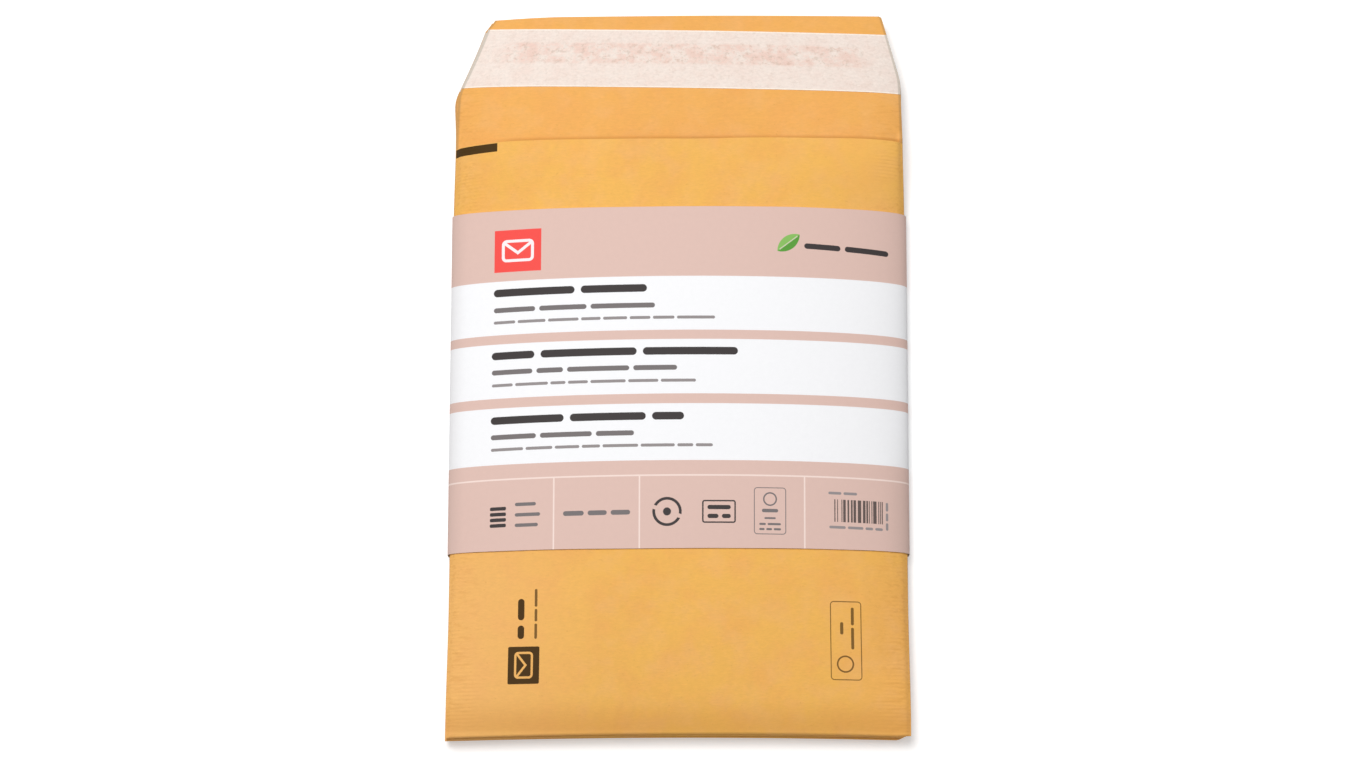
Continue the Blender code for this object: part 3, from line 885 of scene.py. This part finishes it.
KRAFT_OUTSIDE = tone("F2B85D")
KRAFT_INSIDE = tone("F0B05E")
KRAFT_WARM = tone("F0AB61")
KRAFT_PALE = tone("F2B878")
KRAFT_LIT = tone("FFC466")
KRAFT_CUT = tone("E2B878")
KRAFT_SHADE = tone("C98A40")
KRAFT_SIDE_SHADE = tone("A98558")
DARK_PRINT = tone("38260C")
PADDING = tone("DDC4A0")
PADDING_SHADE = tone("B89A72")
ADHESIVE = tone("E6DDBE")
LINER = tone("F1E3D9")
LINER_BLUSH = tone("E9C3B4")
LINER_SPECK = tone("B89C86")
LINER_SIDE_SHADE = tone("C6BDB0")
# Painted highlight along the liner's long edges
LINER_EDGE = tone("FDF2E4")
LINER_BACK = tone("F2E6DC")
BAND_PINK = tone("E1C1B6")
BAND_WHITE = tone("FAFAFC")
BAND_LINE = tone("FBE6DD")
BAND_INK = tone("3F3A3A")
BAND_GREY = tone("7A7474")
BAND_PALE_GREY = tone("989191")
BAND_SHADE = tone("9C8F88")
BAND_RED = tone("F7534D")
LEAF_GREEN = tone("5C9E3E")
LEAF_LIGHT = tone("8BC063")
BAND_INSIDE = tone("F7F5F1")
BAND_INSIDE_SHADE = tone("E4DFD8")
FLOOR_TONE = (0.8, 0.8, 0.8, 1.0)
FLOOR_GLOW = (0.4, 0.4, 0.4, 1.0)
WHITE = (1.0, 1.0, 1.0, 1.0)


def kraft_base(paint, colour):
    """The golden kraft: its colour, roughness and height.

    Warm and pale patches come first, with a pale lower left corner that is painted light, then
    clouds, mottle and fibres, darker streaks along the sides that are painted shade of the crimp
    ripples, dark specks, and painted shade towards the bottom fold.
    """
    clouds = paint.cloud(38.0, 2.0)
    mottle = paint.cloud(2.6, 3.0, 0.6)
    fibres = paint.cloud(0.55, 3.0, 0.6, stretch=(0.28, 1.0), distortion=0.6)
    specks = paint.cloud(0.8, 1.0, 0.5, stretch=(0.6, 1.0))
    warm = paint.step(paint.cloud(13.0, 4.0, 0.55), 0.38, 0.70) * 0.44
    warm_corner = paint.step(paint.x, 50.0, 82.0) * paint.step(paint.y, -40.0, -65.0) * 0.4
    colour = paint.colour(paint.larger(warm, warm_corner), colour, KRAFT_WARM)
    pale = paint.step(paint.cloud(9.0, 3.0, 0.55), 0.40, 0.72) * 0.32
    # The paler lower left corner is painted light, brighter on the side the lamp comes from.
    lit_corner = paint.step(paint.x, -10.0, -80.0) * paint.step(paint.y, 0.0, -60.0) * 0.5
    colour = paint.colour(paint.larger(pale, lit_corner), colour, KRAFT_PALE)
    shade = clouds * 0.07 + mottle * 0.10 + fibres * 0.17
    colour = paint.colour(1.0, colour, paint.math("ADD", shade, 0.835), "MULTIPLY")
    # Darker streaks along the sides: painted shade in the valleys of the crimp ripples.
    streaks = paint.step(paint.cloud(1.1, 1.0, 0.5, stretch=(0.09, 1.0)), 0.50, 0.72)
    at_sides = paint.step(abs(paint.x), 68.0, 84.0)
    colour = paint.colour(streaks * at_sides * 0.22, colour, KRAFT_SHADE)
    dark_specks = paint.step(specks, 0.70, 0.80) * 0.22
    colour = paint.colour(dark_specks, colour, KRAFT_SHADE)
    # Darker towards the bottom fold, eased off right at the edge: painted shade where the fold curves
    # away from the lamp.
    fold_shade = paint.step(paint.y, -98.0, -110.0) * 0.34 - paint.step(paint.y, -110.8, -112.4) * 0.22
    colour = paint.colour(fold_shade, colour, KRAFT_SHADE)
    height = fibres * 0.010 + mottle * 0.016
    return colour, paint.math("MULTIPLY_ADD", mottle, 0.10, 0.60), height


def kraft_front_print(paint, x, y):
    """The few small dark marks on the front of each mailer."""
    level_bar = square(paint, x, y, (-90.0, 108.85, -69.4, 112.2))
    block = rounded(paint, x, y, (-62.9, -94.5, -51.3, -80.8), 0.6)
    sign = envelope_sign(paint, y, x * -1.0, (-87.6, 57.1), 9.0, 0.8)
    thick_bars = word_bars(paint, y, x, (-78.0, -63.2, -58.3, 2.4, 2))
    thin_bars = word_bars(paint, y, x, (-78.0, -59.6, -52.8, 1.0, 3))
    panel = outline(rounded(paint, x, y, (56.3, -93.1, 67.6, -64.1), 1.2), 0.35)
    ring = outline(disc(paint, x, y, (61.6, -87.3), 2.9), 0.6)
    panel_bars = bar_lines(paint, y, x, (-81.8, -66.2, 64.4, 1.1, 2), (-76.3, -71.7, 60.4, 1.2, 1))
    dark = ink(paint, closest(paint, [level_bar, paint.larger(block, sign * -1.0), thick_bars]))
    fine = ink(paint, closest(paint, [thin_bars, panel, ring, panel_bars]))
    return dark, fine


def kraft_paints():
    """The outer face, inner face and cut edge of a kraft sheet, then those of its printed front."""
    outside = Paint("kraft_outside", 0.55)
    outside.finish(*kraft_base(outside, KRAFT_OUTSIDE))
    inside = Paint("kraft_inside", 0.55)
    colour, roughness, height = kraft_base(inside, KRAFT_INSIDE)
    # A darker line on the flap just behind the front's lip: painted shadow of the lip.
    lip = (MOUTH_Y - LIP_SET_BACK - HALF_WIDTH * CUT_SKEW) / MM
    right = inside.step(inside.x, 64.0, 85.0) * (RIGHT_CORNER_PULL / MM)
    behind = inside.y - inside.x * CUT_SKEW - lip + right
    lip_shadow = inside.step(abs(behind - 0.5), 2.3, 0.3) * inside.step(inside.x, -73.0, -60.0) * 0.7
    colour = inside.colour(lip_shadow, colour, KRAFT_SHADE)
    # Darker along the sheet's side edges: painted shade, where the flaps above shade the edges of the
    # flaps below.
    _, across, _ = inside.on_sheet("sheet")
    edge_shade = inside.step(abs(across), 84.2, 84.9) * 0.5
    inside.finish(inside.colour(edge_shade, colour, KRAFT_SIDE_SHADE), roughness, height)
    cut = Paint("kraft_cut_edge", 0.8)
    grain = cut.cloud(0.5, 2.0)
    cut.finish(cut.colour(grain * 0.5, KRAFT_CUT, KRAFT_SHADE))
    front = Paint("kraft_front", 0.55)
    colour, roughness, height = kraft_base(front, KRAFT_OUTSIDE)
    _, x, y = front.on_sheet("sheet")
    # A lighter patch on the front's upper right: painted light.
    lit = front.step(x, 45.0, 78.0) * front.step(y, 84.0, 92.0) * 0.35
    colour = front.colour(lit, colour, KRAFT_LIT)
    dark, fine = kraft_front_print(front, x, y)
    colour = front.colour(dark * 0.97, colour, DARK_PRINT)
    colour = front.colour(fine * 0.8, colour, DARK_PRINT)
    front.finish(colour, roughness, height)
    return [outside, inside, cut, front, inside, cut]


def padding_paints():
    """Soft brown padding paper with a crimped grain."""
    paint = Paint("padding_paper", 0.9)
    mottle = paint.cloud(1.4, 4.0, 0.65)
    wander = paint.cloud(9.0, 2.0)
    crimps = paint.math("SINE", paint.y * (2.0 * math.pi / 1.4) + wander * 9.0)
    height = crimps * 0.05 + mottle * 0.05
    paint.finish(paint.colour(mottle, PADDING_SHADE, PADDING), None, height)
    return [paint] * 3


def adhesive_paints():
    """Pale yellowish adhesive with a streaky surface."""
    paint = Paint("adhesive_line", 0.3)
    streaks = paint.cloud(1.2, 3.0, 0.6, stretch=(0.15, 1.0))
    colour = paint.colour(1.0, ADHESIVE, paint.math("MULTIPLY_ADD", streaks, 0.2, 0.88), "MULTIPLY")
    paint.finish(colour, paint.math("MULTIPLY_ADD", streaks, 0.3, 0.15), streaks * 0.03)
    return [paint] * 3


def liner_paints():
    """Release paper: pinkish white, with the adhesive showing through in a blotchy line."""
    face = Paint("liner_face", 0.4)
    strip, x, distance = face.on_sheet("strip")
    from_top = (LINER_START + LINER_WIDTH) / MM - distance
    blotch = face.cloud(6.0, 6.0, 0.72, place=strip, stretch=(0.8, 1.0))
    fine = face.cloud(0.9, 4.0, 0.7, place=strip, stretch=(0.6, 1.0))
    specks = face.cloud(2.0, 5.0, 0.75, place=strip, stretch=(0.8, 1.0))
    zone = face.step(abs(from_top - 9.8), 4.8, 3.5) * face.step(abs(x + 1.0), 80.0, 66.0)
    blush = face.step(blotch * 0.75 + fine * 0.25, 0.40, 0.60) * zone
    veil = face.step(blotch, 0.35, 0.7) * 0.22
    colour = face.colour(veil, LINER, LINER_BLUSH)
    colour = face.colour(blush * 0.60, colour, LINER_BLUSH)
    speckled = face.step(specks, 0.50, 0.64) * face.math("MULTIPLY_ADD", zone, 0.22, 0.14)
    colour = face.colour(speckled, colour, LINER_SPECK)
    # Paler lines along the strip's long edges: painted highlight where the edges catch the light.
    edge = face.smaller(from_top, distance - LINER_START / MM)
    colour = face.colour(face.step(edge, 0.7, 0.35) * 0.8, colour, LINER_EDGE)
    # Greyer at the strip's side ends: painted shade, standing for the shaded edges of the strips below.
    colour = face.colour(face.step(abs(x), 84.3, 84.8) * 0.8, colour, LINER_SIDE_SHADE)
    grain = face.math("MULTIPLY_ADD", fine, 0.34, 0.84)
    colour = face.colour(1.0, colour, grain, "MULTIPLY")
    face.finish(colour, face.math("MULTIPLY_ADD", fine, 0.12, 0.42), blush * -0.012 + fine * 0.006)
    back = Paint("liner_back", 0.45)
    grain = back.cloud(1.5, 3.0, 0.6)
    back.finish(back.colour(grain * 0.4, LINER_BACK, LINER))
    return [face, back, back]


# The band's print is measured from the middle of its lower edge. Its lines bow up at the sides,
# and the marks are only on the side above a height. Stripes are given as low and high edge,
# lines of bars as left, right, middle, height and count.
PRINT_BOW = 0.8 / 80.0 ** 2
MARKS_ABOVE = 3.0
BAND_STRIPES = ((82.1, 102.7), (57.9, 78.6), (32.8, 54.2))
BAND_HEADINGS = (
    (-69.4, -12.0, 98.2, 2.9, 2),
    (-69.9, 21.9, 74.1, 2.9, 3),
    (-70.0, 1.9, 49.5, 2.9, 3),
)
BAND_SUBHEADINGS = (
    (-69.3, -9.0, 91.6, 1.9, 3),
    (-69.8, -0.7, 67.8, 1.9, 4),
    (-69.9, -16.6, 43.2, 1.9, 3),
)
BAND_NOTES = (
    (-69.3, 13.4, 86.9, 1.15, 8),
    (-69.7, 6.3, 62.9, 1.15, 7),
    (-69.8, 12.6, 38.5, 1.15, 8),
)


def leaf_sign(paint, x, y):
    """A slanted leaf: its blade between two circles, its midrib, and the side a point lies on."""
    turn = math.radians(38.0)
    along = (x - 40.9) * math.cos(turn) + (y - 115.9) * math.sin(turn)
    across = (y - 115.9) * math.cos(turn) - (x - 40.9) * math.sin(turn)
    upper = disc(paint, along, across, (0.0, -4.1), 6.7)
    lower = disc(paint, along, across, (0.0, 4.1), 6.7)
    blade = paint.larger(upper, lower)
    rib = paint.larger(abs(across) - 0.2, blade + 0.7)
    return blade, rib, across


def bottom_row(paint, x, v):
    """The small signs in the band's bottom row."""
    four_bars = closest(paint, [
        rounded(paint, x, v, (-69.9, low, -63.9, low + 1.35), 0.5)
        for low in (9.3, 11.4, 13.5, 15.6)
    ])
    side_bars = bar_lines(
        paint, x, v,
        (-60.6, -52.8, 17.6, 1.3, 1), (-60.6, -51.2, 13.7, 1.3, 1), (-60.6, -52.0, 9.8, 1.3, 1),
    )
    long_bars = word_bars(paint, x, v, (-42.7, -17.9, 13.5, 1.8, 3))
    ring = outline(disc(paint, x, v, (-4.3, 13.6), 4.9), 1.05)
    gaps = abs(v - 13.6 + (x + 4.3) * 0.35) - 0.8
    ring = paint.larger(ring, gaps * -1.0)
    dot = disc(paint, x, v, (-4.3, 13.6), 1.5)
    box = outline(rounded(paint, x, v, (8.9, 9.6, 20.8, 17.6), 0.7), 0.55)
    box_bars = bar_lines(paint, x, v, (10.6, 19.2, 15.2, 1.6, 1), (10.6, 19.2, 11.9, 1.6, 2))
    panel = outline(rounded(paint, x, v, (27.9, 5.4, 39.5, 22.6), 1.1), 0.3)
    panel_ring = outline(disc(paint, x, v, (33.7, 18.4), 2.3), 0.55)
    panel_bars = bar_lines(
        paint, x, v,
        (30.7, 36.7, 14.1, 1.3, 1), (31.6, 35.8, 11.3, 0.7, 1),
        (29.7, 37.7, 9.1, 0.8, 2), (29.7, 37.7, 7.2, 0.8, 3),
    )
    dark = closest(paint, [four_bars, ring, dot, box, box_bars])
    grey = closest(paint, [side_bars, long_bars, panel, panel_ring, panel_bars])
    return dark, grey


def code_bars(paint, x, v):
    """Made-up upright bars of random width, with small bars below and beside them."""
    settings = {"noise_dimensions": "1D"}
    cell = paint.math("FLOOR", x / 0.32)
    bars = paint.node("ShaderNodeTexWhiteNoise", settings, {"W": cell}, "Value") > 0.46
    field = ink(paint, square(paint, x, v, (57.5, 10.6, 75.6, 19.0)))
    below = word_bars(paint, x, v, (55.6, 75.6, 8.6, 1.0, 4))
    beside = word_bars(paint, v, x, (8.4, 18.8, 77.2, 0.9, 3))
    above = word_bars(paint, x, v, (55.3, 66.0, 21.3, 1.0, 2))
    return bars * field, closest(paint, [below, beside, above])


def band_paints():
    """The printed band: pink with white stripes all round, and its marks on top."""
    face = Paint("band_print", 0.42)
    x = face.x
    straight = face.y - x * BAND_SKEW - BAND_LOW_Y / MM
    v = straight + x * x * PRINT_BOW
    top = face.z > MARKS_ABOVE
    stripes = closest(face, [span(v, low, high) for low, high in BAND_STRIPES])
    colour = face.colour(ink(face, stripes), BAND_PINK, BAND_WHITE)
    rule = abs(v - 27.2) - 0.3
    posts = closest(face, [abs(x + 46.2), abs(x + 14.5), abs(x - 46.5)]) - 0.28
    posts = face.larger(posts, v - 27.2)
    colour = face.colour(ink(face, face.smaller(rule, posts)) * top * 0.85, colour, BAND_LINE)

    headings = bar_lines(face, x, v, *BAND_HEADINGS)
    subheadings = bar_lines(face, x, v, *BAND_SUBHEADINGS)
    notes = bar_lines(face, x, v, *BAND_NOTES)
    leaf_line = word_bars(face, x, v + x * 0.035, (46.8, 78.6, 116.5, 2.1, 2))
    dark_row, grey_row = bottom_row(face, x, v)
    code, code_notes = code_bars(face, x, v)
    dark = ink(face, closest(face, [headings, leaf_line, dark_row]))
    grey = ink(face, closest(face, [subheadings, grey_row]))
    pale = ink(face, closest(face, [notes, code_notes]))
    colour = face.colour(pale * top, colour, BAND_PALE_GREY)
    colour = face.colour(grey * top, colour, BAND_GREY)
    colour = face.colour(face.larger(dark, code * 0.88) * top, colour, BAND_INK)

    badge = square(face, x, v, (-69.3, 106.2, -51.7, 122.4))
    badge_sign = envelope_sign(face, x, v, (-60.5, 114.3), 11.0, 1.1)
    colour = face.colour(ink(face, badge) * top, colour, BAND_RED)
    colour = face.colour(ink(face, badge_sign) * top * 0.92, colour, BAND_WHITE)
    blade, rib, across = leaf_sign(face, x, v)
    green = face.colour(face.step(across, -0.1, 0.1), LEAF_GREEN, LEAF_LIGHT)
    colour = face.colour(ink(face, blade) * top, colour, green)
    colour = face.colour(ink(face, rib) * top * 0.6, colour, BAND_LINE)

    mottle = face.cloud(2.0, 4.0, 0.7)
    colour = face.colour(1.0, colour, face.math("MULTIPLY_ADD", mottle, 0.06, 0.968), "MULTIPLY")
    # Greyer towards the band's left end and lower right: painted shade where the band curves away from
    # the lamp.
    dim_left = face.step(x, -79.0, -85.5) * 0.13
    dim_right = face.step(x, 74.0, 85.5) * face.step(v, 50.0, 15.0) * 0.14
    colour = face.colour((dim_left + dim_right) * top, colour, BAND_SHADE)
    face.finish(colour, face.math("MULTIPLY_ADD", mottle, 0.10, 0.50), mottle * 0.006)
    inner = Paint("band_inner", 0.7)
    grain = inner.cloud(1.2, 3.0, 0.6)
    inner.finish(inner.colour(grain * 0.3, BAND_INSIDE, BAND_INSIDE_SHADE))
    return [face, inner, inner]


# Floor, light and camera

VIEW_DISTANCE = 1.4809
VIEW_TILT = math.radians(12.32)
VIEW_ROLL = math.radians(0.113)
VIEW_TARGET = Vector((0.00002, 0.02069, 0.010))
FOCAL_LENGTH = 104.95
SENSOR_WIDTH = 36.0
VIEW_END = 50.0
FLOOR_SIZE = 6.0
FLOOR_DROP = 0.1 * MM
GLOW_REACH = (250.0, 900.0)
AMBIENT = 0.25
LAMP_PLACE = (-0.28, 0.36, 1.5)
LAMP_TARGET = (0.0, 0.02, 0.0)
LAMP_SIZE = 0.8
LAMP_POWER = 20.1


def sees_background(nodes):
    """1 for the rays that should see the plain backdrop: camera, mirror and glass rays."""
    names = ("Is Camera Ray", "Is Glossy Ray", "Is Transmission Ray")
    eye, mirror, glass = [nodes.node("ShaderNodeLightPath", output=name) for name in names]
    return nodes.larger(nodes.larger(eye, mirror), glass)


def lay_floor():
    """A wide pale floor that keeps the pack's soft shadow."""
    ground = bmesh.new()
    bmesh.ops.create_grid(ground, x_segments=1, y_segments=1, size=FLOOR_SIZE)
    bmesh.ops.translate(ground, verts=ground.verts, vec=(0.0, 0.0, -FLOOR_DROP))
    mesh = bpy.data.meshes.new("floor")
    ground.to_mesh(mesh)
    ground.free()
    paint = Paint("floor_white", 1.0, gloss=0.0)
    paint.shader.inputs["Base Color"].default_value = FLOOR_TONE
    away = paint.step(paint.length(paint.x, paint.y), *GLOW_REACH)
    values = {"Color": paint.colour(away, FLOOR_GLOW, WHITE), "Strength": sees_background(paint)}
    glow = paint.node("ShaderNodeEmission", None, values)
    shader = Field(paint, paint.shader.outputs[0])
    both = paint.node("ShaderNodeAddShader", None, {0: shader, 1: glow})
    paint.tree.links.new(both.socket, paint.tree.nodes["Material Output"].inputs["Surface"])
    mesh.materials.append(paint.material)
    floor = bpy.data.objects.new("floor", mesh)
    bpy.context.scene.collection.objects.link(floor)


def hang_lamp():
    """The square soft lamp above the flaps."""
    lamp = bpy.data.lights.new("key_light", "AREA")
    lamp.size = LAMP_SIZE
    lamp.energy = LAMP_POWER
    item = bpy.data.objects.new("key_light", lamp)
    item.location = LAMP_PLACE
    facing = Vector(LAMP_TARGET) - Vector(LAMP_PLACE)
    item.rotation_euler = facing.to_track_quat("-Z", "Y").to_euler()
    bpy.context.scene.collection.objects.link(item)


def light_room():
    """A white backdrop for the eye, and an even softer light from all round."""
    world = bpy.data.worlds.new("studio")
    bpy.context.scene.world = world
    world.use_nodes = True
    room = Nodes(world.node_tree)
    values = {0: sees_background(room), 3: AMBIENT, 4: 1.0}
    strength = room.node("ShaderNodeMapRange", None, values)
    background = room.tree.nodes["Background"]
    background.inputs["Color"].default_value = WHITE
    room.tree.links.new(strength.socket, background.inputs["Strength"])


def stand_camera():
    """The camera at the photograph's angle."""
    lens = bpy.data.cameras.new("camera")
    lens.lens = FOCAL_LENGTH
    lens.sensor_width = SENSOR_WIDTH
    lens.clip_end = VIEW_END
    camera = bpy.data.objects.new("camera", lens)
    away = Vector((0.0, -math.sin(VIEW_TILT), math.cos(VIEW_TILT)))
    turn = Matrix.Rotation(VIEW_TILT, 4, "X") @ Matrix.Rotation(VIEW_ROLL, 4, "Z")
    camera.matrix_world = Matrix.Translation(VIEW_TARGET + away * VIEW_DISTANCE) @ turn
    bpy.context.scene.collection.objects.link(camera)
    bpy.context.scene.camera = camera


def main():
    """Dresses the pack and sets up the picture."""
    kraft = kraft_paints()
    padding = padding_paints()
    adhesive = adhesive_paints()
    liner = liner_paints()
    for number in range(MAILER_COUNT):
        kraft_sheet(number, kraft)
        padding_plies(number, padding)
        adhesive_line(number, adhesive)
        liner_strip(number, liner)
    belly_band(band_paints())
    lay_floor()
    light_room()
    hang_lamp()
    stand_camera()
    bpy.context.scene.view_settings.view_transform = "Standard"


main()
